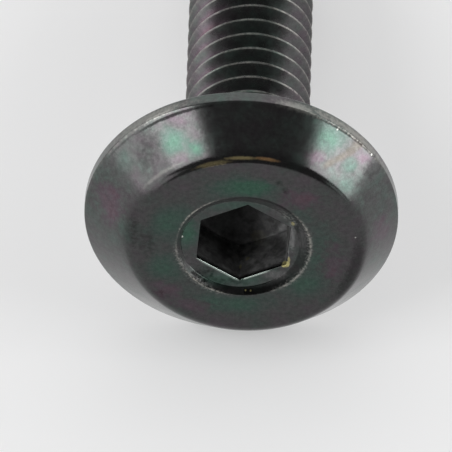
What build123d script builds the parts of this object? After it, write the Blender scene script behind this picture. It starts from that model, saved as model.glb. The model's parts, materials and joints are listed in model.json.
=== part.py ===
from build123d import *
from math import atan2, cos, radians, sin, tan
import os

# Button head screw, in millimetres: one cold-formed piece with a wide bevelled head, a shallow
# round dish about its hex socket, and an M6 shank threaded up to the head. The fine thread isn't
# modelled: the shank is a cylinder over its crests. The screw lies on the floor, z = 0, on the rim
# of its head and on its tip, with its axis in the plane x = 0 and its head towards -Y.

# Shank
thread_d = 5.9          # over the thread's crests, M6
shank_len = 20.0        # bearing face to tip
tip_chamfer = 0.8

# Head
head_d = 14.7           # over the rim
head_h = 2.7            # face to bearing face
rim_h = 0.6             # straight rim behind the bevel
face_d = 10.9           # where the flat face and the bevel would meet
face_edge_r = 0.8       # rounding between them
rim_break = 0.1         # edge break at the bearing face
rim_shift = -0.15       # the rim was pressed off the shank's axis by this, along X
face_shift = 0.15       # and the face by this

# Dish about the socket
dish_d = 6.28           # at the face
dish_floor_d = 5.44
dish_depth = 0.25
floor_shift = -0.19     # the dish's floor is off the axis by this, along X
floor_rise = -0.1       # and by this, upwards

# Hex socket
hex_af = 4.2            # across flats
hex_turn = 5.0          # degrees about the axis
socket_depth = 2.6      # face to where the flats end
cone_angle = 120.0      # at the socket's bottom

rim_r = head_d / 2
face_r = face_d / 2
tip_r = thread_d / 2
hex_corner_angle = 30   # a corner points straight up before the turn

# How it lies: the axis slopes down from the rim to the tip, which touch the floor at these two
# distances from the face
rim_foot = head_h - rim_break
tip_foot = head_h + shank_len - tip_chamfer
slope = atan2(rim_r - tip_r, tip_foot - rim_foot)
face_height = rim_r * cos(slope) + rim_foot * sin(slope)

# The origin is halfway between the tip and the foremost point of the rounded edge
bevel_angle = atan2(head_h - rim_h, rim_r - face_r)
edge_centre_r = face_r - face_edge_r * tan(bevel_angle / 2)
nose = edge_centre_r * sin(slope) + face_edge_r * (1 - cos(slope))
tail = (head_h + shank_len) * cos(slope) + (tip_r - tip_chamfer) * sin(slope)
face_front = (nose - tail) / 2


def level(along, shift=0.0, rise=0.0):
    """The plane across the axis at this distance from the face, with its origin off the axis."""
    up = Vector(0, sin(slope), cos(slope))
    towards_tip = Vector(0, cos(slope), -sin(slope))
    centre = Vector(shift, face_front, face_height) + towards_tip * along + up * rise
    return Plane(origin=centre, x_dir=(-1, 0, 0), z_dir=towards_tip)


def round_edges(part, along):
    """The part's circular edges that are centred at this distance from the face."""
    across = level(along)
    circles = part.edges().filter_by(GeomType.CIRCLE)
    return [edge for edge in circles if abs(across.to_local_coords(edge.arc_center).Z) < 0.001]


with BuildPart() as button_head_screw:
    # Bevel, an oblique cone from the face to the rim, with its front edge rounded
    with BuildSketch(level(0, face_shift)):
        Circle(face_r)
    with BuildSketch(level(head_h - rim_h, rim_shift)):
        Circle(rim_r)
    loft()
    fillet(round_edges(button_head_screw.part, 0), face_edge_r)

    # Rim
    with BuildSketch(level(head_h - rim_h, rim_shift)):
        Circle(rim_r)
    extrude(amount=rim_h)
    chamfer(round_edges(button_head_screw.part, head_h), rim_break)

    # Shank
    with BuildSketch(level(head_h)):
        Circle(tip_r)
    extrude(amount=shank_len)
    chamfer(round_edges(button_head_screw.part, head_h + shank_len), tip_chamfer)

    # Dish
    with BuildSketch(level(0)):
        Circle(dish_d / 2)
    with BuildSketch(level(dish_depth, floor_shift, floor_rise)):
        Circle(dish_floor_d / 2)
    loft(mode=Mode.SUBTRACT)

    # Socket, flats and then a cone
    with BuildSketch(level(0)):
        RegularPolygon(hex_af / 2, 6, major_radius=False, rotation=hex_corner_angle + hex_turn)
    extrude(amount=socket_depth, mode=Mode.SUBTRACT)
    with Locations(level(socket_depth)):
        cone_depth = hex_af / 2 / tan(radians(cone_angle / 2))
        from_base = (Align.CENTER, Align.CENTER, Align.MIN)
        Cone(hex_af / 2, 0, cone_depth, align=from_base, mode=Mode.SUBTRACT)

button_head_screw.part.label = "button_head_screw"
os.makedirs("parts", exist_ok=True)
export_step(button_head_screw.part, "parts/button_head_screw.step")
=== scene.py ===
import json
from math import atan2, cos, pi, radians, sin, tan

import bmesh
import bpy
from bpy.props import FloatProperty, FloatVectorProperty, IntProperty, PointerProperty
from mathutils import Matrix, Vector


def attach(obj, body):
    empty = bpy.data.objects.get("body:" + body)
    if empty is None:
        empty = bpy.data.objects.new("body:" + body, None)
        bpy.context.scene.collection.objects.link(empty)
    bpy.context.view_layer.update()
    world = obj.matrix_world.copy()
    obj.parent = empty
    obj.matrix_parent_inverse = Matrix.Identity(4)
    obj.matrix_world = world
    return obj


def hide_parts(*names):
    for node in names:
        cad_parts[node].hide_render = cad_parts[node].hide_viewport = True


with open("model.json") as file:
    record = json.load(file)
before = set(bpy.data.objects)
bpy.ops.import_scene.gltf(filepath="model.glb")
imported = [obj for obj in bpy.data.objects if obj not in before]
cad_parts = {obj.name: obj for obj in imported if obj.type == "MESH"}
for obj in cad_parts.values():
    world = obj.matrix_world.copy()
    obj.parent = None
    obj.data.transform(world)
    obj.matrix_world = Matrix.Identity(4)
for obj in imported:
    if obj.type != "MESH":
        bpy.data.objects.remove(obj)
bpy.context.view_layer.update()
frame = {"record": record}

bl_info = {
    "name": "Button head screw",
    "version": (1, 0, 0),
    "blender": (4, 5, 0),
    "location": "3D View > Sidebar > Screw",
    "description": "Makes a plated button head screw with its real thread, and the stage it lies on",
    "category": "Add Mesh",
}

CAD_NODE = "button_head_screw"
MM = 0.001
MOUNTS = {mount["name"]: mount for mount in frame["record"]["mounts"]}
FACE = Vector(MOUNTS["hex_socket"]["pos_m"])
OUT_OF_FACE = Vector(MOUNTS["hex_socket"]["axis"]).normalized()
SIDE = Vector((1, 0, 0))
UP_THE_FACE = OUT_OF_FACE.cross(SIDE)
CREST_R = MOUNTS["shank"]["dims"]["r_mm"] * MM

# The screw's own space: x to the side, y up the face, z out of it, from the middle of the face
TURN = Matrix((SIDE, UP_THE_FACE, OUT_OF_FACE)).transposed()
PLACE = Matrix.Translation(FACE) @ TURN.to_4x4()


# ---------------------------------------------------------------- sizes and colours

class HeadSizes(bpy.types.PropertyGroup):
    """The head: a flat face, a bevel and a short rim, both a little off the shank's axis"""
    rim_d: FloatProperty(name="Rim", description="Across the rim", default=14.7 * MM, unit="LENGTH")
    height: FloatProperty(name="Height", description="Face to bearing face", default=2.7 * MM,
                          unit="LENGTH")
    rim_h: FloatProperty(name="Rim height", description="Straight rim behind the bevel",
                         default=0.6 * MM, unit="LENGTH")
    face_d: FloatProperty(name="Face", description="Across the flat face, to where the bevel would "
                          "meet it", default=10.9 * MM, unit="LENGTH")
    face_edge_r: FloatProperty(name="Face edge", description="Rounding between face and bevel",
                               default=0.8 * MM, unit="LENGTH")
    burr_r: FloatProperty(name="Burr", description="Rounding of the rim's front edge",
                          default=0.08 * MM, unit="LENGTH")
    rim_break: FloatProperty(name="Rim break", description="Rounding behind the rim",
                             default=0.1 * MM, unit="LENGTH")
    rim_shift: FloatProperty(name="Rim shift", description="How far the rim is off the axis",
                             default=-0.15 * MM, unit="LENGTH")
    face_shift: FloatProperty(name="Face shift", description="How far the face is off the axis",
                              default=0.15 * MM, unit="LENGTH")


class SocketSizes(bpy.types.PropertyGroup):
    """The hex socket and the shallow round dish about it"""
    dish_d: FloatProperty(name="Dish", description="Across the dish at the face",
                          default=6.28 * MM, unit="LENGTH")
    floor_d: FloatProperty(name="Dish floor", description="Across the dish's floor",
                           default=5.44 * MM, unit="LENGTH")
    dish_depth: FloatProperty(name="Dish depth", description="Face to the dish's floor",
                              default=0.25 * MM, unit="LENGTH")
    floor_shift: FloatVectorProperty(name="Floor shift", description="How far the dish's floor is "
                                     "off the axis", size=2, default=(-0.19 * MM, -0.1 * MM),
                                     unit="LENGTH")
    dish_edge_r: FloatProperty(name="Dish edge", description="Rounding at the dish's edge",
                               default=0.07 * MM, unit="LENGTH")
    hex_af: FloatProperty(name="Hex", description="Across the socket's flats", default=4.2 * MM,
                          unit="LENGTH")
    hex_turn: FloatProperty(name="Hex turn", description="Turn of the hexagon about the axis",
                            default=radians(5), unit="ROTATION")
    hex_edge_r: FloatProperty(name="Hex edge", description="Rounding at the socket's mouth",
                              default=0.04 * MM, unit="LENGTH")
    depth: FloatProperty(name="Depth", description="Face to where the flats end",
                         default=2.6 * MM, unit="LENGTH")
    cone: FloatProperty(name="Cone", description="Angle of the socket's bottom",
                        default=radians(120), unit="ROTATION")


class ThreadSizes(bpy.types.PropertyGroup):
    """The shank's thread and tip, and how finely the whole screw is divided"""
    pitch: FloatProperty(name="Pitch", description="Crest to crest", default=1.0 * MM,
                         unit="LENGTH")
    depth: FloatProperty(name="Depth", description="Crest to root", default=0.54 * MM,
                         unit="LENGTH")
    length: FloatProperty(name="Length", description="Bearing face to tip", default=20 * MM,
                          unit="LENGTH")
    tip_chamfer: FloatProperty(name="Tip chamfer", description="Chamfer at the tip",
                               default=0.8 * MM, unit="LENGTH")
    neck_r: FloatProperty(name="Neck fillet", description="Fillet under the head",
                          default=0.2 * MM, unit="LENGTH")
    run_out: FloatProperty(name="Run-out", description="Length over which the thread rises from "
                           "the neck", default=1.0 * MM, unit="LENGTH")
    first_crest: FloatProperty(name="First crest", description="Distance of a crest from the face "
                               "straight above the axis", default=0.55 * MM, unit="LENGTH")
    columns: IntProperty(name="Columns", description="Faces around the screw", default=120)
    rows: IntProperty(name="Rows", description="Faces over one pitch", default=16)


class StageSizes(bpy.types.PropertyGroup):
    """The floor, the light of the room and the camera"""
    floor_side: FloatProperty(name="Floor", description="Side of the floor", default=8.0,
                              unit="LENGTH")
    room: FloatProperty(name="Room light", description="Brightness of the room in front",
                        default=0.13)
    ceiling: FloatProperty(name="Ceiling", description="Brightness of the ceiling", default=0.7)
    back_wall: FloatProperty(name="Back wall", description="Brightness of the wall behind",
                             default=1.0)
    paper_glow: FloatProperty(name="Paper glow", description="Light that comes through the paper",
                              default=0.314)
    lamp_distance: FloatProperty(name="Lamp distance", description="From the screw to each "
                                 "softbox", default=1.3, unit="LENGTH")
    view_angle: FloatProperty(name="View angle", description="Camera's angle of view",
                              default=radians(2.0154905), unit="ROTATION")
    camera_at: FloatVectorProperty(name="Camera", description="Camera's place",
                                   default=(0.010036, -0.344952, 0.505931), unit="LENGTH")
    aim: FloatVectorProperty(name="Aim", description="What the camera looks at",
                             default=(-0.000827, -0.009959, 0.008291), unit="LENGTH")
    roll: FloatProperty(name="Roll", description="Camera's roll", default=radians(-0.75),
                        unit="ROTATION")


# ---------------------------------------------------------------- head and socket, in mesh code

def arc_points(centre, radius, start, stop, steps):
    """Points of an arc in the profile's plane, as (distance from the axis, depth), ends included."""
    turns = [start + (stop - start) * step / steps for step in range(steps + 1)]
    return [(centre[0] + radius * cos(turn), centre[1] + radius * sin(turn)) for turn in turns]


MARKS = ("rub", "socket", "dish")       # what the finish reads from the mesh, from 0 to 1


class Lathe:
    """Rings about the screw's axis, each a column of the same angles, bridged into one skin."""

    def __init__(self, columns, first_angle):
        self.mesh = bmesh.new()
        self.marks = {name: self.mesh.verts.layers.float.new(name) for name in MARKS}
        self.angles = [first_angle + 2 * pi * step / columns for step in range(columns)]
        self.first_angle = first_angle
        self.last = None

    def vert(self, place, marks):
        vert = self.mesh.verts.new(place)
        for name, value in marks.items():
            vert[self.marks[name]] = value
        return vert

    def centre(self, depth, **marks):
        self.last = [self.vert((0, 0, -depth), marks)] * len(self.angles)

    def ring(self, radius, depth, shift=(0, 0), sixth=0.0, **marks):
        """One ring. sixth blends its outline from a circle (0) to a hexagon (1) of this apothem."""
        verts = []
        for angle in self.angles:
            across = (angle - self.first_angle) % (pi / 3) - pi / 6
            reach = radius * (1 + sixth * (1 / cos(across) - 1))
            place = (reach * sin(angle) + shift[0], reach * cos(angle) + shift[1], -depth)
            verts.append(self.vert(place, marks))
        count = len(verts)
        for here in range(count if self.last else 0):
            after = (here + 1) % count
            loop = [self.last[here], self.last[after], verts[after], verts[here]]
            self.mesh.faces.new([vert for at, vert in enumerate(loop) if vert not in loop[:at]])
        self.last = verts


def add_socket(lathe, socket):
    """From the bottom of the socket up its flats, over its mouth and across the dish."""
    half = socket.hex_af / 2
    edge = socket.hex_edge_r
    mouth = socket.dish_depth
    lathe.centre(socket.depth + half / tan(socket.cone / 2), socket=1)
    for share in (0.25, 0.5, 0.75, 1.0):
        depth = socket.depth + half * (1 - share) / tan(socket.cone / 2)
        lathe.ring(half * share, depth, socket=1)
    lathe.ring(half, socket.depth, sixth=1, socket=1)
    steps = 8
    for step in range(1, steps):
        depth = socket.depth + (mouth + edge - socket.depth) * step / steps
        lathe.ring(half, depth, sixth=1, socket=1)
    # The mouth's rounding; its mark feeds the painted highlight along the lower lip
    for radius, depth in arc_points((half + edge, mouth + edge), edge, pi, 1.5 * pi, 4):
        lathe.ring(radius, depth, sixth=1, rub=1)
    inner, outer = half + edge, socket.floor_d / 2
    for share in (0.15, 0.4, 0.65, 0.85, 1.0):
        shift = [part * share for part in socket.floor_shift]
        radius = inner + (outer - inner) * share
        lathe.ring(radius, mouth, shift, sixth=1 - share, dish=1)
    round_r = socket.dish_edge_r
    for share in (0.06, 0.5, 0.88):
        shift = [part * (1 - share) for part in socket.floor_shift]
        radius = outer + (socket.dish_d / 2 - outer) * share
        lathe.ring(radius, mouth * (1 - share), shift, dish=1)
    lathe.ring(socket.dish_d / 2, round_r * 0.15, rub=1, dish=1)
    lathe.ring(socket.dish_d / 2 + round_r, 0, rub=0.3)


def add_head(lathe, head, socket, thread):
    """Across the face, down the bevel, round the rim and in to the neck."""
    rim_r, face_r = head.rim_d / 2, head.face_d / 2
    slope = atan2(head.height - head.rim_h, rim_r - face_r)
    reach = head.face_edge_r * tan(slope / 2)
    start, stop = socket.dish_d / 2 + socket.dish_edge_r, face_r - reach
    for share in (0.02, 0.2, 0.4, 0.6, 0.8, 0.95):
        lathe.ring(start + (stop - start) * share, 0, (head.face_shift * share, 0))
    edge = arc_points((stop, head.face_edge_r), head.face_edge_r, -pi / 2, slope - pi / 2, 10)
    bevel_w = rim_r - face_r
    front = head.height - head.rim_h
    for radius, depth in edge:
        share = max(0, (radius - face_r) / bevel_w)
        shift = head.face_shift + (head.rim_shift - head.face_shift) * share
        lathe.ring(radius, depth, (shift, 0))
    tangent = face_r + reach * cos(slope)
    corner = head.burr_r * tan((pi / 2 - slope) / 2)
    for share in (0.03, 0.2, 0.4, 0.6, 0.8, 0.95):
        radius = tangent + (rim_r - corner * cos(slope) - tangent) * share
        along = (radius - face_r) / bevel_w
        shift = head.face_shift + (head.rim_shift - head.face_shift) * along
        lathe.ring(radius, front * along, (shift, 0))
    off = (head.rim_shift, 0)
    burr = arc_points((rim_r - head.burr_r, front + corner), head.burr_r, slope - pi / 2, 0, 4)
    for radius, depth in burr:
        lathe.ring(radius, depth, off, rub=1)
    back = head.height - head.rim_break
    for share in (0.1, 0.5, 0.9):
        lathe.ring(rim_r, front + corner + (back - front - corner) * share, off)
    for radius, depth in arc_points((rim_r - head.rim_break, back), head.rim_break, 0, pi / 2, 4):
        lathe.ring(radius, depth, off, rub=1)
    neck = CREST_R - thread.depth
    start, stop = rim_r - head.rim_break, neck + thread.neck_r
    for share in (0.1, 0.4, 0.7, 1.0):
        lathe.ring(start + (stop - start) * share, head.height, (head.rim_shift * (1 - share), 0))
    fillet = arc_points((stop, head.height + thread.neck_r), thread.neck_r, 1.5 * pi, pi, 5)
    for radius, depth in fillet[1:]:
        lathe.ring(radius, depth)


# ---------------------------------------------------------------- thread, in geometry nodes

class Wiring:
    """Adds nodes to a tree, each output ready to be the next one's input."""

    def __init__(self, tree):
        self.tree = tree

    def node(self, kind, settings=None, **inputs):
        node = self.tree.nodes.new(kind)
        for name, value in (settings or {}).items():
            setattr(node, name, value)
        for name, value in inputs.items():
            socket = node.inputs[int(name[1:])] if name[0] == "_" else node.inputs[name]
            self.feed(socket, value)
        return node

    def feed(self, socket, value):
        if isinstance(value, bpy.types.NodeSocket):
            self.tree.links.new(value, socket)
        else:
            socket.default_value = value

    def math(self, operation, first, second=0.0, third=0.0):
        return self.node("ShaderNodeMath", {"operation": operation}, _0=first, _1=second,
                         _2=third).outputs[0]

    def add(self, first, second):
        return self.math("ADD", first, second)

    def less(self, first, second):
        return self.math("SUBTRACT", first, second)

    def times(self, first, second):
        return self.math("MULTIPLY", first, second)

    def over(self, first, second):
        return self.math("DIVIDE", first, second)

    def vector(self, operation, first, second):
        return self.node("ShaderNodeVectorMath", {"operation": operation}, _0=first,
                         _1=second).outputs[0]

    def span(self, value, low, high, at_low, at_high):
        """Smoothly from at_low where value is low to at_high where it is high."""
        return self.node("ShaderNodeMapRange", {"interpolation_type": "SMOOTHSTEP"}, Value=value,
                         _1=low, _2=high, _3=at_low, _4=at_high).outputs[0]

    def noise(self, point, scale, detail, rough=0.55):
        return self.node("ShaderNodeTexNoise", {}, Vector=point, Scale=scale, Detail=detail,
                         Roughness=rough).outputs[0]

    def attribute(self, name):
        return self.node("ShaderNodeAttribute", {"attribute_name": name}).outputs["Fac"]

    def ramp(self, value, *stops):
        node = self.node("ShaderNodeValToRGB", {}, Fac=value)
        elements = node.color_ramp.elements
        while len(elements) < len(stops):
            elements.new(1)
        for element, (place, colour) in zip(elements, stops):
            element.position = place
            element.color = (*colour, 1)
        return node.outputs[0]

    def blend(self, share, first, second):
        node = self.node("ShaderNodeMix", {"data_type": "RGBA"})
        self.feed(node.inputs["Factor"], share)
        self.feed(node.inputs[6], first)
        self.feed(node.inputs[7], second)
        return node.outputs[2]

    def scale_colour(self, colour, amount):
        return self.node("ShaderNodeVectorMath", {"operation": "SCALE"}, _0=colour,
                         Scale=amount).outputs[0]


THREAD_INPUTS = ("Pitch", "Crest Radius", "Depth", "Start", "End", "Tip Chamfer", "Run-out",
                 "First Crest", "First Angle")
GROUND = 3 / 8          # how far from a crest the flank reaches the root, in pitches
CREST = 1 / 22          # and the crest's half width
ROOT_ROUND = 0.22       # how softly the flank runs into the root, as a share of the depth
CREST_ROUND = 0.08      # and into the crest
WELD = 0.002 * MM       # points closer than this become one
SHARP = radians(33)     # edges that bend more than this stay sharp


def thread_tree(material):
    """A grid wound into a helix: columns go round the axis, rows climb one pitch in a turn."""
    tree = bpy.data.node_groups.new("screw_thread", "GeometryNodeTree")
    inputs = [("Geometry", "Geometry")] + [(name, "Float") for name in THREAD_INPUTS]
    for name, kind in inputs + [("Columns", "Int"), ("Rows", "Int")]:
        tree.interface.new_socket(name, in_out="INPUT", socket_type="NodeSocket" + kind)
    tree.interface.new_socket("Geometry", in_out="OUTPUT", socket_type="NodeSocketGeometry")
    w = Wiring(tree)
    given = w.node("NodeGroupInput").outputs
    pitch, crest_r, depth = given["Pitch"], given["Crest Radius"], given["Depth"]
    start, end, columns, rows = given["Start"], given["End"], given["Columns"], given["Rows"]

    # Each point's angle about the axis and its distance from the face
    first_turn = w.less(w.math("FLOOR", w.over(w.less(start, given["First Crest"]), pitch)), 2)
    turns = w.add(w.math("CEIL", w.over(w.less(end, start), pitch)), 4)
    row_count = w.add(w.times(turns, rows), 2)
    grid = w.node("GeometryNodeMeshGrid", {}, **{"Size X": 1.0, "Size Y": 1.0,
                  "Vertices X": w.add(columns, 1), "Vertices Y": row_count})
    index = w.node("GeometryNodeInputIndex").outputs[0]
    column = w.math("FLOOR", w.over(w.add(index, 0.5), row_count))
    row = w.less(index, w.times(column, row_count))
    angle = w.add(given["First Angle"], w.times(w.over(column, columns), 2 * pi))
    lead = w.over(angle, 2 * pi)
    wound = w.add(w.add(lead, first_turn), w.over(row, rows))
    along = w.add(given["First Crest"], w.times(wound, pitch))
    along = w.math("MINIMUM", w.math("MAXIMUM", along, start), end)

    # Its height on the thread, from root (0) to crest (1), and so its distance from the axis
    phase = w.less(w.over(w.less(along, given["First Crest"]), pitch), lead)
    from_crest = w.math("PINGPONG", phase, 0.5)
    flank = w.over(w.less(GROUND, from_crest), GROUND - CREST)
    rise = w.math("SMOOTH_MIN", w.math("SMOOTH_MAX", flank, 0, ROOT_ROUND), 1, CREST_ROUND)
    rising = w.math("MINIMUM", w.over(w.less(along, start), given["Run-out"]), 1)
    rise = w.times(rise, rising)
    radius = w.add(w.less(crest_r, depth), w.times(depth, rise))
    tip_cone = w.add(w.less(crest_r, given["Tip Chamfer"]), w.less(end, along))
    radius = w.math("MINIMUM", radius, tip_cone)
    # The last row closes the tip on the axis
    not_last = w.math("LESS_THAN", row, w.less(row_count, 1.5))
    radius = w.times(radius, not_last)

    x = w.times(radius, w.math("SINE", angle))
    y = w.times(radius, w.math("COSINE", angle))
    place = w.node("ShaderNodeCombineXYZ", {}, X=x, Y=y, Z=w.times(along, -1)).outputs[0]
    marked = w.node("GeometryNodeSetPosition", {}, Geometry=grid.outputs["Mesh"],
                    Position=place).outputs[0]
    for name, value in (("rub", w.math("POWER", rise, 4)), ("rise", rise), ("thread", 1.0)):
        marked = w.node("GeometryNodeStoreNamedAttribute", {"data_type": "FLOAT",
                        "domain": "POINT"}, Geometry=marked, Name=name, Value=value).outputs[0]
    join = w.node("GeometryNodeJoinGeometry")
    for part in (given["Geometry"], marked):
        tree.links.new(part, join.inputs[0])
    merged = w.node("GeometryNodeMergeByDistance", {}, Geometry=join.outputs[0],
                    Distance=WELD).outputs[0]
    real = w.node("GeometryNodeRealizeInstances", {}, Geometry=merged).outputs[0]
    done = w.node("GeometryNodeSetMaterial", {}, Geometry=real, Material=material).outputs[0]
    w.node("NodeGroupOutput", {}, Geometry=done)
    return tree


def set_input(modifier, name, value):
    """Sets a modifier's input by its socket's identifier."""
    for item in modifier.node_group.interface.items_tree:
        if item.item_type == "SOCKET" and item.in_out == "INPUT" and item.name == name:
            modifier[item.identifier] = value


def settle(piece):
    """Turns what the modifiers make into the piece's own mesh and removes them."""
    view = bpy.context.evaluated_depsgraph_get()
    mesh = bpy.data.meshes.new_from_object(piece.evaluated_get(view), depsgraph=view)
    piece.modifiers.clear()
    piece.data = mesh


# ---------------------------------------------------------------- finish

def mark_group():
    """A soft, ragged spot: 1 at its place, 0 beyond its size."""
    tree = bpy.data.node_groups.new("ragged_spot", "ShaderNodeTree")
    for name, kind in (("Point", "Vector"), ("Place", "Vector"), ("Size", "Vector"),
                       ("Ragged", "Float"), ("Soft", "Float")):
        tree.interface.new_socket(name, in_out="INPUT", socket_type="NodeSocket" + kind)
    tree.interface.new_socket("Mask", in_out="OUTPUT", socket_type="NodeSocketFloat")
    w = Wiring(tree)
    given = w.node("NodeGroupInput").outputs
    away = w.vector("SUBTRACT", given["Point"], given["Place"])
    away = w.vector("DIVIDE", away, given["Size"])
    far = w.node("ShaderNodeVectorMath", {"operation": "LENGTH"}, _0=away).outputs["Value"]
    far = w.add(far, given["Ragged"])
    mask = w.span(far, 1, w.less(1, given["Soft"]), 0, 1)
    w.node("NodeGroupOutput", {}, Mask=mask)
    return tree


# Spots of thicker or thinner film: place and size in the screw's space in mm, then how far the
# film's colour goes towards green (+) or purple (-)
FILM_SPOTS = {
    "green_above_dish": ((-0.1, 3.75, 0.0), (2.2, 0.85, 1.0), 1.0),
    "green_top_middle": ((0.5, 3.75, 0.0), (1.2, 0.6, 1.0), 0.6),
    "green_left": ((-3.5, 1.5, 0.0), (1.2, 1.4, 1.0), 0.65),
    "green_low_left": ((-3.7, -1.4, 0.0), (1.2, 1.2, 1.0), 0.9),
    "green_below_dish": ((-0.8, -3.7, 0.0), (2.6, 0.8, 1.0), 0.9),
    "green_low_right": ((2.8, -2.4, 0.0), (1.3, 0.9, 1.0), 0.6),
    "green_dish_floor": ((-2.6, 0.5, -0.25), (0.7, 1.3, 0.2), 1.1),
    "green_dish_low": ((-0.6, -2.4, -0.25), (2.2, 0.8, 0.2), 1.0),
    "green_dish_top": ((-0.6, 2.4, -0.25), (2.4, 0.6, 0.2), 0.8),
    "red_right": ((2.5, 3.0, 0.0), (1.3, 0.8, 1.0), -1.3),
    "purple_right": ((4.1, -0.8, 0.0), (0.8, 1.6, 1.0), -0.9),
    "purple_low_left": ((-3.6, -2.9, 0.0), (0.9, 0.8, 1.0), -1.1),
    "magenta_below": ((-2.3, -3.8, 0.0), (1.1, 0.6, 1.0), -1.3),
    "purple_bevel_left": ((-6.2, 1.5, -1.2), (1.1, 1.4, 1.2), -1.0),
    "red_bevel_right": ((6.4, 0.1, -1.1), (0.7, 1.1, 1.0), -0.8),
    "green_bevel_top_left": ((-3.3, 5.6, -1.1), (1.0, 1.0, 1.0), 1.0),
    "green_bevel_edge": ((-2.2, 5.6, -0.65), (0.6, 0.5, 0.5), 1.1),
    "green_bevel_left": ((-5.6, 4.0, -1.5), (0.7, 1.0, 0.8), 0.5),
    "pink_bevel_top_left": ((-3.1, 6.3, -1.7), (0.7, 0.4, 0.6), -0.5),
    "pink_bevel_corner": ((-2.9, 5.1, -0.6), (0.6, 0.4, 0.4), -0.7),
    "green_bevel_top_right": ((4.0, 5.5, -1.5), (1.3, 1.0, 0.9), 0.8),
    "pink_bevel_top_right": ((3.25, 5.08, -0.66), (0.8, 0.45, 0.5), -1.1),
    "green_bevel_right": ((4.95, 4.2, -1.2), (0.8, 0.45, 0.55), 0.75),
    "pink_bevel_right": ((5.6, 4.2, -1.7), (0.7, 0.5, 0.5), -0.5),
}

# Places on the edges: angle from straight up in radians, distance from the axis and height over
# the face in mm, then the size of the spot in the same measures, and how strong it is
EDGE_WEAR = {
    "dish_top_left": ((-0.85, 3.14, -0.03), (0.6, 0.2, 0.3), 0.6),
    "dish_left": ((-1.9, 3.14, -0.03), (0.6, 0.2, 0.3), 0.3),
    "dish_low_left": ((-2.5, 3.14, -0.03), (0.55, 0.2, 0.3), 0.85),
    "dish_right": ((1.45, 3.14, -0.03), (0.75, 0.2, 0.3), 0.55),
    "dish_low_right": ((2.3, 3.14, -0.03), (0.5, 0.2, 0.3), 0.45),
    "rim_top_right": ((0.36, 7.3, -2.1), (0.22, 0.5, 0.35), 0.2),
    "rim_right": ((0.95, 7.3, -2.1), (0.45, 0.5, 0.3), 0.12),
    "rim_left": ((-1.2, 7.3, -2.1), (0.6, 0.5, 0.3), 0.12),
}
# Painted highlights: thin light lines along the socket's lower left and lower right lip
LIP_HIGHLIGHTS = {
    "lip_low_left": ((-2.55, 2.3, -0.27), (0.62, 0.5, 0.1), 1.0),
    "lip_low_right": ((2.87, 2.3, -0.27), (0.4, 0.5, 0.1), 1.0),
}
# Thin darker lines along the rim and the face's edge, and painted shade with some dirt in the dish's
# wall at its top and bottom
EDGE_DIRT_AND_SHADE = {
    "face_edge_right": ((1.85, 5.35, -0.12), (0.55, 0.45, 0.4), 0.4),
    "rim_line_left": ((-0.5, 7.26, -1.98), (0.4, 0.11, 0.13), 0.8),
    "rim_line_right": ((0.8, 7.22, -2.02), (0.42, 0.1, 0.14), 0.85),
    "rim_line_far_left": ((-0.9, 7.3, -2.0), (0.25, 0.09, 0.1), 0.4),
    "dish_top": ((0.3, 3.1, -0.08), (1.1, 0.12, 0.2), 0.8),
    "dish_bottom": ((3.0, 3.0, -0.1), (1.0, 0.2, 0.2), 0.6),
}
RAGGED_WEAR = {
    "dish_left": ((-1.85, 3.17, -0.05), (0.5, 0.2, 0.3), 0.5),
    "dish_low_left": ((-2.5, 3.2, -0.03), (0.55, 0.24, 0.3), 0.42),
    "dish_right": ((1.45, 3.12, -0.05), (0.75, 0.22, 0.3), 0.55),
    "dish_low_right": ((2.3, 3.15, -0.03), (0.55, 0.2, 0.3), 0.5),
    "dish_top_right": ((0.85, 2.75, -0.2), (0.4, 0.35, 0.3), 0.55),
}
GREY_BANDS = {
    "rim_right_light": ((0.35, 7.35, -2.2), (0.2, 0.4, 0.4), 0.36),
    "rim_left_light": ((-0.57, 7.4, -2.2), (0.2, 0.3, 0.18), 0.54),
    "rim_left": ((-0.7, 7.35, -2.35), (0.5, 0.4, 0.4), 0.34),
    "rim_right": ((0.8, 7.35, -2.35), (0.5, 0.4, 0.4), 0.52),
    "face_edge_left": ((-0.76, 5.72, -0.37), (0.3, 0.17, 0.12), 0.12),
}
# Painted reflection: a gold and copper streak along the top of the face's edge
GOLD_REFLECTION_STREAK = {
    "over_face_edge_left": ((-0.26, 5.37, -0.08), (0.22, 0.2, 0.1), 0.6),
    "over_face_edge": ((-0.02, 5.52, -0.13), (0.19, 0.18, 0.08), 1.0),
}
COPPER_REFLECTION_STREAK = {
    "over_face_edge_right": ((0.2, 5.57, -0.14), (0.14, 0.18, 0.08), 0.9),
}

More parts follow.
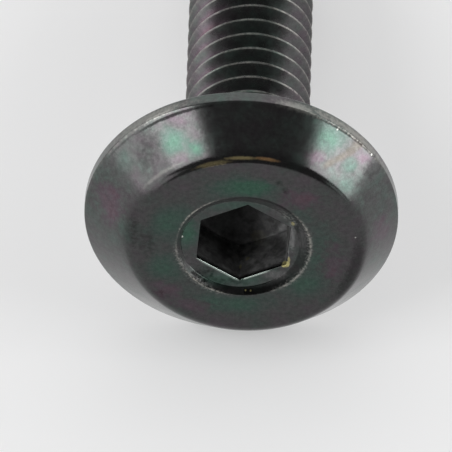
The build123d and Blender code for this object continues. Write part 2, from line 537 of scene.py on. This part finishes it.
# Places anywhere: place and size in the screw's space in mm, and how strong it is
BROWN_STREAK = {
    "at_rim": ((5.35, 4.75, -2.0), (0.7, 0.3, 0.8), 0.6),
    "upper": ((5.0, 4.68, -1.62), (0.75, 0.24, 0.8), 0.6),
    "middle": ((4.5, 4.68, -1.16), (0.75, 0.22, 0.8), 0.65),
    "lower": ((4.05, 4.68, -0.78), (0.6, 0.2, 0.7), 0.6),
}
SCUFFS = {
    "beside_hex": ((2.27, 0.5, -0.2), (0.22, 1.3, 0.25), 0.62),
    "low_right_of_hex": ((1.5, -2.0, -0.25), (0.8, 0.3, 0.2), 0.3),
    "dish_wall": ((2.75, 0.3, -0.1), (0.3, 1.3, 0.3), 0.22),
    "hex_edge": ((2.1, 0.1, -0.27), (0.06, 1.2, 0.12), 1.0),
}
BRASS_CHIPS = {
    "hex_corner": ((1.93, -1.44, -0.3), (0.24, 0.12, 0.35), 0.9),
    "hex_corner_side": ((2.07, -1.3, -0.28), (0.12, 0.2, 0.3), 0.9),
    "hex_corner_tip": ((2.12, -1.05, -0.26), (0.07, 0.2, 0.3), 0.8),
    "beside_hex": ((2.31, 1.32, -0.2), (0.1, 0.17, 0.2), 0.5),
    "low_edge_first": ((0.09, -2.95, -0.1), (0.05, 0.05, 0.2), 0.4),
    "low_edge_second": ((0.33, -2.95, -0.1), (0.05, 0.05, 0.2), 0.4),
    "in_socket_low": ((-0.17, -2.39, -1.17), (0.07, 0.1, 0.18), 0.35),
    "in_socket_deep": ((0.15, -2.25, -1.56), (0.13, 0.1, 0.14), 0.35),
    "in_socket_stain": ((0.65, -1.86, -2.67), (0.45, 0.35, 0.5), 0.08),
}
BRIGHT_SPECKS = {
    "dish_left": ((-2.86, 0.35, -0.23), (0.05, 0.08, 0.3), 0.5),
    "rim_right": ((5.93, 4.06, -2.06), (0.05, 0.05, 0.1), 0.5),
    "face_right": ((5.23, 0.67, 0.0), (0.05, 0.05, 0.2), 0.3),
    "bevel_right": ((4.34, 5.69, -1.98), (0.06, 0.04, 0.1), 0.25),
}
# Darker spots: dulled patches, and painted shade in the dish's wall at lower left
DULL_AND_SHADED_SPOTS = {
    "bevel_low_left": ((-5.3, -3.6, -1.05), (1.3, 1.3, 0.9), 0.18),
    "bevel_lowest_left": ((-4.06, -4.48, -0.7), (1.2, 0.9, 0.6), 0.35),
    "bevel_right_middle": ((4.97, 3.73, -0.82), (0.9, 0.8, 0.7), 0.2),
    "bevel_right_start": ((3.44, 4.9, -0.55), (0.7, 0.6, 0.4), 0.15),
    "bevel_left_start": ((-3.14, 6.23, -1.65), (0.8, 0.6, 0.6), 0.15),
    "bevel_top_left": ((-4.5, 4.75, -1.2), (0.65, 1.4, 1.4), 0.32),
    "bevel_middle_left": ((-4.1, 5.3, -1.5), (0.5, 0.6, 0.6), 0.22),
    "dent_high": ((1.68, 4.05, 0.0), (0.24, 0.22, 0.5), 0.4),
    "dent_low": ((2.0, 3.55, 0.0), (0.22, 0.32, 0.5), 0.35),
    "bevel_right_end": ((5.9, 3.6, -1.5), (0.6, 0.6, 0.6), 0.35),
    "face_edge_left": ((-5.1, 0.8, -0.05), (0.35, 1.4, 0.3), 0.3),
    "stain_left": ((-4.5, 0.3, 0.0), (0.6, 1.2, 0.5), 0.25),
    "dish_floor_low": ((-0.9, -2.5, -0.25), (1.4, 0.35, 0.1), 0.42),
    "low_left_of_dish": ((-4.0, -3.2, 0.0), (0.8, 0.5, 0.5), 0.25),
    # Painted shade in the dish's wall at lower left
    "dish_wall_low_left": ((-2.0, -2.05, -0.16), (1.1, 0.9, 0.2), 0.9),
}


# What the film looks like from thin to thick, what shows where it is rubbed off or covered, and the
# colours of the painted lip highlight and of the painted gold and copper reflection
FILM_COLOURS = (
    (0.0, (0.087, 0.058, 0.070)), (0.25, (0.073, 0.060, 0.069)), (0.5, (0.060, 0.062, 0.061)),
    (0.72, (0.051, 0.071, 0.063)), (1.0, (0.041, 0.087, 0.063)),
)
BROWN = (0.061, 0.054, 0.044, 1)
BARE_STEEL = (0.5, 0.48, 0.43, 1)
FLECK_GREY = (0.23, 0.23, 0.22, 1)
LIP_HIGHLIGHT_GREY = (0.33, 0.38, 0.35, 1)
BAND_GREY = (0.5, 0.49, 0.455, 1)
GOLD_REFLECTION = (0.75, 0.62, 0.33, 1)
COPPER_REFLECTION = (0.85, 0.52, 0.26, 1)
SCUFF_GREY = (0.24, 0.24, 0.24, 1)
BRASS = (0.5, 0.45, 0.2, 1)
SPECK_WHITE = (0.95, 0.95, 0.9, 1)
SOFT = 0.8              # the share of a spot over which it fades out


class Plating(Wiring):
    """The plating's nodes. point is the place in the screw's space in mm, and around is the same
    place as angle from straight up, distance from the axis and height over the face."""

    def __init__(self, tree):
        super().__init__(tree)
        place = self.node("ShaderNodeTexCoord").outputs["Object"]
        self.point = self.node("ShaderNodeMapping", {"vector_type": "TEXTURE"}, Vector=place,
                               Location=FACE, Rotation=TURN.to_euler(),
                               Scale=(MM, MM, MM)).outputs[0]
        x, y, z = self.node("ShaderNodeSeparateXYZ", {}, Vector=self.point).outputs
        self.x, self.y, self.z = x, y, z
        self.radius = self.math("SQRT", self.add(self.times(x, x), self.times(y, y)))
        self.around = self.node("ShaderNodeCombineXYZ", {}, X=self.math("ARCTAN2", x, y),
                                Y=self.radius, Z=z).outputs[0]
        self.cloud = self.noise(self.point, 0.42, 4)
        self.blotch = self.noise(self.point, 1.5, 5)
        self.mottle = self.noise(self.point, 4.5, 4)
        self.nicks = self.noise(self.point, 5.5, 3)
        self.grain = self.noise(self.point, 14.0, 3)
        self.ragged = self.add(self.swing(self.blotch, 1.3), self.swing(self.mottle, 0.9))
        self.rough_edge = self.swing(self.noise(self.point, 7.0, 3), 1.2)
        self.rub = self.attribute("rub")
        self.socket = self.attribute("socket")
        self.thread = self.attribute("thread")
        wall = self.times(self.span(z, -0.24, -0.2, 0, 1), self.span(z, -0.04, -0.01, 1, 0))
        self.dish_wall = self.times(wall, self.attribute("dish"))
        self.spot_tree = mark_group()

    def swing(self, noise, amount):
        """Noise about zero, this strong."""
        return self.times(self.less(noise, 0.5), amount)

    def spot(self, name, point, place, size, ragged, soft):
        """One spot's mask."""
        return self.node("ShaderNodeGroup", {"node_tree": self.spot_tree, "label": name},
                         Point=point, Place=place, Size=size, Ragged=ragged, Soft=soft).outputs[0]

    def spots(self, table, point, ragged, soft=SOFT):
        """All of a table's spots together, from 0 to 1."""
        total = 0.0
        for name, (place, size, weight) in table.items():
            mask = self.spot(name, point, place, size, ragged, soft)
            total = self.math("MAXIMUM", self.times(mask, weight), total)
        return total

    def film_colour(self):
        """Purple where the film is thin, green where it is thick, redder in the thread's roots."""
        film = self.add(self.swing(self.cloud, 2.2), self.swing(self.blotch, 1.6))
        on_face = self.span(self.z, -0.5, -0.2, 0, 1)
        ring = self.times(self.span(self.radius, 3.0, 3.4, 0, 1),
                          self.span(self.radius, 3.8, 5.0, 0.3, -0.1))
        film = self.add(film, self.times(ring, on_face))
        for name, (place, size, weight) in FILM_SPOTS.items():
            mask = self.spot(name, self.point, place, size, self.ragged, SOFT)
            film = self.math("MULTIPLY_ADD", mask, weight, film)
        film = self.add(film, self.swing(self.mottle, 0.4))
        rooted = self.times(self.span(self.attribute("rise"), 0, 0.8, -1.4, 0.1),
                            self.span(self.x, -2.4, -0.6, 1, 0.05))
        rooted = self.add(rooted, self.span(self.x, -2.9, 0, -0.4, 0.25))
        rooted = self.add(rooted, self.span(self.x, 0.8, 2.6, 0, -0.5))
        film = self.add(film, self.times(rooted, self.thread))
        return self.ramp(self.math("MULTIPLY_ADD", film, 0.32, 0.5), *FILM_COLOURS)

    def shade(self, colour):
        """Hazy on the bevel, mottled all over, darker in dulled patches and in thin lines at the
        edges, with painted shade in the dish's wall and at its top and bottom edge.
        """
        bevel = self.span(self.z, -0.15, -0.6, 0, 1)
        haze = self.times(bevel, self.span(self.blotch, 0.3, 0.7, 0.75, 1.1))
        shade = self.math("MULTIPLY_ADD", haze, 0.6, 1.0)
        shade = self.times(shade, self.span(self.mottle, 0.3, 0.7, 0.86, 1.1))
        shade = self.times(shade, self.span(self.grain, 0.3, 0.7, 0.9, 1.08))
        # Painted shade in the dish's wall: half as bright, a little lighter on its left
        dish_wall_shade = self.span(self.x, -2.9, -1.2, 0.1, -0.5)
        shade = self.times(shade, self.math("MULTIPLY_ADD", self.dish_wall, dish_wall_shade, 1.0))
        # Darker lines, with painted shade in the dish's wall at its top and bottom
        dirt_and_shade = self.spots(EDGE_DIRT_AND_SHADE, self.around, self.times(self.rough_edge, 0.5), 0.6)
        shade = self.times(shade, self.less(1, dirt_and_shade))
        # Dulled patches, and painted shade in the dish's wall at lower left
        dull_and_shade = self.spots(DULL_AND_SHADED_SPOTS, self.point, self.times(self.ragged, 0.5))
        dull_and_shade = self.times(dull_and_shade, self.span(self.mottle, 0.36, 0.62, 1.05, 0.6))
        shade = self.times(shade, self.less(1, dull_and_shade))
        streak = self.spots(BROWN_STREAK, self.point, self.times(self.ragged, 0.6))
        return self.scale_colour(self.blend(streak, colour, BROWN), shade)

    def paint_socket_and_thread_light(self, colour):
        """Painted light and shade: the socket's inside lighter to the right, darker towards the top
        and at its very bottom, blotched; the thread lighter on its left side and darker in the
        middle.
        """
        # Painted light and shade inside the socket: lighter to the right, darker towards the top and
        # at the very bottom
        socket_light_and_shade = self.times(self.span(self.x, -1.0, 1.7, 0.095, 0.32),
                           self.span(self.blotch, 0.35, 0.65, 0.65, 1.4))
        socket_light_and_shade = self.times(socket_light_and_shade, self.span(self.mottle, 0.3, 0.7, 0.75, 1.2))
        socket_light_and_shade = self.times(socket_light_and_shade, self.span(self.y, -1.6, 0.3, 1.05, 0.6))
        socket_light_and_shade = self.times(socket_light_and_shade, self.span(self.z, -2.72, -2.55, 0.42, 1.15))
        colour = self.blend(self.times(self.socket, 0.85), colour, socket_light_and_shade)
        # Painted light on the thread: lighter on its left side, darker in the middle
        thread_side_light = self.add(self.span(self.x, -2.4, -0.6, 0.32, -0.12),
                         self.span(self.x, 0.6, 2.4, 0, 0.15))
        return self.scale_colour(colour, self.math("MULTIPLY_ADD", self.thread, thread_side_light, 1.0))

    def wear_and_painted_light(self, colour):
        """The colour with all that is rubbed, scratched or chipped, the painted highlight on the
        socket's lower lip and the painted gold and copper reflection on the face's edge, and how
        bare each place is.
        """
        strongly = self.math("POWER", self.rub, 3)
        worn = self.times(self.spots(EDGE_WEAR, self.around, self.rough_edge), self.rub)
        worn = self.times(worn, self.span(self.nicks, 0.38, 0.62, 0.15, 1.1))
        crests = self.times(strongly, self.span(self.nicks, 0.35, 0.65, 0.06, 0.28))
        worn = self.add(worn, self.times(self.thread, crests))
        colour = self.blend(worn, colour, BARE_STEEL)
        flecks = self.spots(RAGGED_WEAR, self.around, self.rough_edge)
        flecks = self.times(flecks, self.span(self.noise(self.point, 9.0, 3), 0.44, 0.6, 0, 1))
        colour = self.blend(flecks, colour, FLECK_GREY)
        # Painted highlight along the socket's lower lip
        lip_highlights = self.times(self.spots(LIP_HIGHLIGHTS, self.around, 0.0, 0.4), strongly)
        colour = self.blend(lip_highlights, colour, LIP_HIGHLIGHT_GREY)
        # Grey bands on the rim, then the painted gold and copper reflection over the face's edge
        for table, raggedness, tint in ((GREY_BANDS, 1.0, BAND_GREY), (GOLD_REFLECTION_STREAK, 0.5, GOLD_REFLECTION),
                                         (COPPER_REFLECTION_STREAK, 0.5, COPPER_REFLECTION)):
            ragged = self.times(self.rough_edge, raggedness)
            colour = self.blend(self.spots(table, self.around, ragged), colour, tint)
        streaks = self.noise(self.vector("MULTIPLY", self.point, (9.0, 1.6, 1.0)), 1.0, 4)
        scuff = self.times(self.spots(SCUFFS, self.point, self.rough_edge, 0.6),
                           self.span(streaks, 0.35, 0.65, 0.3, 1))
        colour = self.blend(scuff, colour, SCUFF_GREY)
        brass = self.spots(BRASS_CHIPS, self.point, self.times(self.rough_edge, 0.5), 0.4)
        uneven = self.span(self.nicks, 0.35, 0.6, 0.65, 1)
        colour = self.blend(self.times(brass, uneven), colour, BRASS)
        speck = self.spots(BRIGHT_SPECKS, self.point, 0.0, 0.5)
        colour = self.blend(speck, colour, SPECK_WHITE)
        bare = self.math("MAXIMUM", self.math("MAXIMUM", worn, scuff),
                         self.math("MAXIMUM", brass, speck))
        return colour, bare

    def roughness(self, bare):
        """Glossy with faint clouds, duller where it is bare, in the socket or threaded."""
        rough = self.add(self.span(self.cloud, 0.3, 0.7, 0.13, 0.19),
                         self.span(self.blotch, 0.3, 0.7, 0, 0.05))
        for mask, more in ((bare, 0.3), (self.socket, 0.4), (self.thread, 0.1),
                           (self.dish_wall, 0.2)):
            rough = self.add(rough, self.times(mask, more))
        return rough

    def bumps(self):
        """A barely felt grain."""
        height = self.add(self.times(self.grain, 0.4), self.mottle)
        return self.node("ShaderNodeBump", {}, Strength=0.18, Distance=0.01 * MM,
                         Height=height).outputs[0]


def plating():
    """Black plating with a thin film's green and purple clouds, rubbed to grey at the edges, with
    painted light and shade in the socket, on the thread and in the dish, and painted highlights and
    reflections on the socket's lip and the face's edge.
    """
    material = bpy.data.materials.new("black_plating")
    material.use_nodes = True
    shader = material.node_tree.nodes["Principled BSDF"]
    shader.inputs["Metallic"].default_value = 1
    w = Plating(material.node_tree)
    colour, bare = w.wear_and_painted_light(w.paint_socket_and_thread_light(w.shade(w.film_colour())))
    w.feed(shader.inputs["Base Color"], colour)
    w.feed(shader.inputs["Roughness"], w.roughness(bare))
    w.feed(shader.inputs["Normal"], w.bumps())
    return material


# ---------------------------------------------------------------- operators

class MakeScrew(bpy.types.Operator):
    """Makes the whole screw in one skin: head and socket in mesh code, thread in geometry nodes"""
    bl_idname = "mesh.button_head_screw"
    bl_label = "Screw"

    def execute(self, context):
        scene = context.scene
        head, socket, thread = scene.head_sizes, scene.socket_sizes, scene.thread_sizes
        lathe = Lathe(thread.columns, socket.hex_turn)
        add_socket(lathe, socket)
        add_head(lathe, head, socket, thread)
        mesh = bpy.data.meshes.new("screw")
        lathe.mesh.to_mesh(mesh)
        lathe.mesh.free()
        screw = bpy.data.objects.new("screw", mesh)
        scene.collection.objects.link(screw)
        material = plating()
        winder = screw.modifiers.new("thread", "NODES")
        winder.node_group = thread_tree(material)
        values = {
            "Pitch": thread.pitch, "Crest Radius": CREST_R, "Depth": thread.depth,
            "Start": head.height + thread.neck_r, "End": head.height + thread.length,
            "Tip Chamfer": thread.tip_chamfer, "Run-out": thread.run_out,
            "First Crest": thread.first_crest, "First Angle": socket.hex_turn,
            "Columns": thread.columns, "Rows": thread.rows,
        }
        for name, value in values.items():
            set_input(winder, name, value)
        settle(screw)
        screw.data.transform(PLACE)
        self.face_outwards(screw.data)
        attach(screw, "root")
        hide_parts(CAD_NODE)
        return {"FINISHED"}

    @staticmethod
    def face_outwards(mesh):
        """Turns every face outwards, smooth but for edges sharper than a worn corner."""
        work = bmesh.new()
        work.from_mesh(mesh)
        bmesh.ops.recalc_face_normals(work, faces=work.faces)
        if work.calc_volume(signed=True) < 0:
            bmesh.ops.reverse_faces(work, faces=work.faces)
        for face in work.faces:
            face.smooth = True
        for edge in work.edges:
            edge.smooth = edge.is_manifold and edge.calc_face_angle() < SHARP
        work.to_mesh(mesh)
        work.free()


PAPER_WHITE = (0.57, 0.57, 0.573, 1)
PAPER_ROUGH = 0.9
WHITE = (1, 1, 1, 1)
OVERHEAD = Vector((0, 0.3, 0.95))       # where the ceiling is brightest
# Which way each softbox hangs, turned from -Y towards +X, and how high, in degrees; its width and
# height in metres, and how bright the screw sees it
SOFTBOXES = {
    "right_softbox": (77, 18, (0.66, 0.95), 4.6),
    "left_softbox": (-67, 41, (0.70, 0.60), 4.0),
    "left_window": (-67, 13, (0.70, 0.68), 1.9),
    "right_wall": (108, 22, (0.85, 0.95), 1.6),
    "left_wall": (-105, 22, (0.85, 0.95), 1.6),
    "right_fill": (48, 6, (0.36, 0.26), 1.3),
    "left_fill": (-42, 8, (0.46, 0.34), 1.7),
}


class MakeStage(bpy.types.Operator):
    """Lays the paper floor, hangs the lights and sets the camera"""
    bl_idname = "scene.screw_stage"
    bl_label = "Stage"

    def execute(self, context):
        stage = context.scene.stage_sizes
        self.lay_floor(context, stage)
        self.hang_lights(context, stage)
        self.set_camera(context, stage)
        return {"FINISHED"}

    def lay_floor(self, context, stage):
        half = stage.floor_side / 2
        mesh = bpy.data.meshes.new("paper")
        corners = [(-half, -half, 0), (half, -half, 0), (half, half, 0), (-half, half, 0)]
        mesh.from_pydata(corners, [], [(0, 1, 2, 3)])
        paper = bpy.data.objects.new("paper", mesh)
        context.scene.collection.objects.link(paper)
        material = bpy.data.materials.new("white_paper")
        material.use_nodes = True
        shader = material.node_tree.nodes["Principled BSDF"]
        finish = {"Base Color": PAPER_WHITE, "Roughness": PAPER_ROUGH, "Emission Color": WHITE,
                  "Emission Strength": stage.paper_glow}
        for name, value in finish.items():
            shader.inputs[name].default_value = value
        mesh.materials.append(material)

    def hang_lights(self, context, stage):
        world = bpy.data.worlds.new("room")
        world.use_nodes = True
        w = Wiring(world.node_tree)
        direction = w.node("ShaderNodeTexCoord").outputs["Generated"]
        overhead = w.node("ShaderNodeVectorMath", {"operation": "DOT_PRODUCT"}, _0=direction,
                          _1=OVERHEAD).outputs["Value"]
        back = w.node("ShaderNodeSeparateXYZ", {}, Vector=direction).outputs["Y"]
        glow = w.add(w.span(overhead, 0.76, 0.98, stage.room, stage.ceiling),
                     w.span(back, 0.2, 0.95, 0, stage.back_wall))
        background = world.node_tree.nodes["Background"]
        w.feed(background.inputs["Strength"], glow)
        w.feed(background.inputs["Color"], WHITE)
        context.scene.world = world
        for name, (bearing, height, size, radiance) in SOFTBOXES.items():
            self.hang_softbox(context, stage, name, radians(bearing), radians(height), size,
                              radiance)

    def hang_softbox(self, context, stage, name, bearing, height, size, radiance):
        """A softbox that faces the screw."""
        light = bpy.data.lights.new(name, "AREA")
        light.shape = "RECTANGLE"
        light.size, light.size_y = size
        light.energy = radiance * size[0] * size[1] * pi
        lamp = bpy.data.objects.new(name, light)
        aim = Vector((sin(bearing) * cos(height), -cos(bearing) * cos(height), sin(height)))
        lamp.location = aim * stage.lamp_distance
        lamp.rotation_euler = aim.to_track_quat("Z", "Y").to_euler()
        context.scene.collection.objects.link(lamp)

    def set_camera(self, context, stage):
        camera = bpy.data.cameras.new("camera")
        camera.sensor_width = 36
        camera.angle = stage.view_angle
        camera.clip_start = 0.01
        camera.clip_end = 20
        holder = bpy.data.objects.new("camera", camera)
        holder.location = stage.camera_at
        look = (Vector(stage.aim) - holder.location).to_track_quat("-Z", "Y").to_matrix()
        holder.rotation_euler = (look @ Matrix.Rotation(stage.roll, 3, "Z")).to_euler()
        context.scene.collection.objects.link(holder)
        context.scene.camera = holder
        context.scene.view_settings.view_transform = "Standard"


class ScrewPanel(bpy.types.Panel):
    """Lists what makes the screw and its stage"""
    bl_idname = "VIEW3D_PT_button_head_screw"
    bl_label = "Button head screw"
    bl_space_type = "VIEW_3D"
    bl_region_type = "UI"
    bl_category = "Screw"

    def draw(self, context):
        layout = self.layout
        for group in PROPERTIES:
            box = layout.box()
            values = getattr(context.scene, group)
            for name in values.__annotations__:
                box.prop(values, name)
        for operator in OPERATORS:
            layout.operator(operator.bl_idname)


PROPERTIES = {"head_sizes": HeadSizes, "socket_sizes": SocketSizes, "thread_sizes": ThreadSizes,
              "stage_sizes": StageSizes}
OPERATORS = (MakeScrew, MakeStage)


def register():
    for name, group in PROPERTIES.items():
        bpy.utils.register_class(group)
        setattr(bpy.types.Scene, name, PointerProperty(type=group))
    for operator in OPERATORS:
        bpy.utils.register_class(operator)
    bpy.utils.register_class(ScrewPanel)


def unregister():
    bpy.utils.unregister_class(ScrewPanel)
    for operator in reversed(OPERATORS):
        bpy.utils.unregister_class(operator)
    for name, group in PROPERTIES.items():
        delattr(bpy.types.Scene, name)
        bpy.utils.unregister_class(group)


def main():
    register()
    bpy.ops.mesh.button_head_screw()
    bpy.ops.scene.screw_stage()


if __name__ == "__main__":
    main()
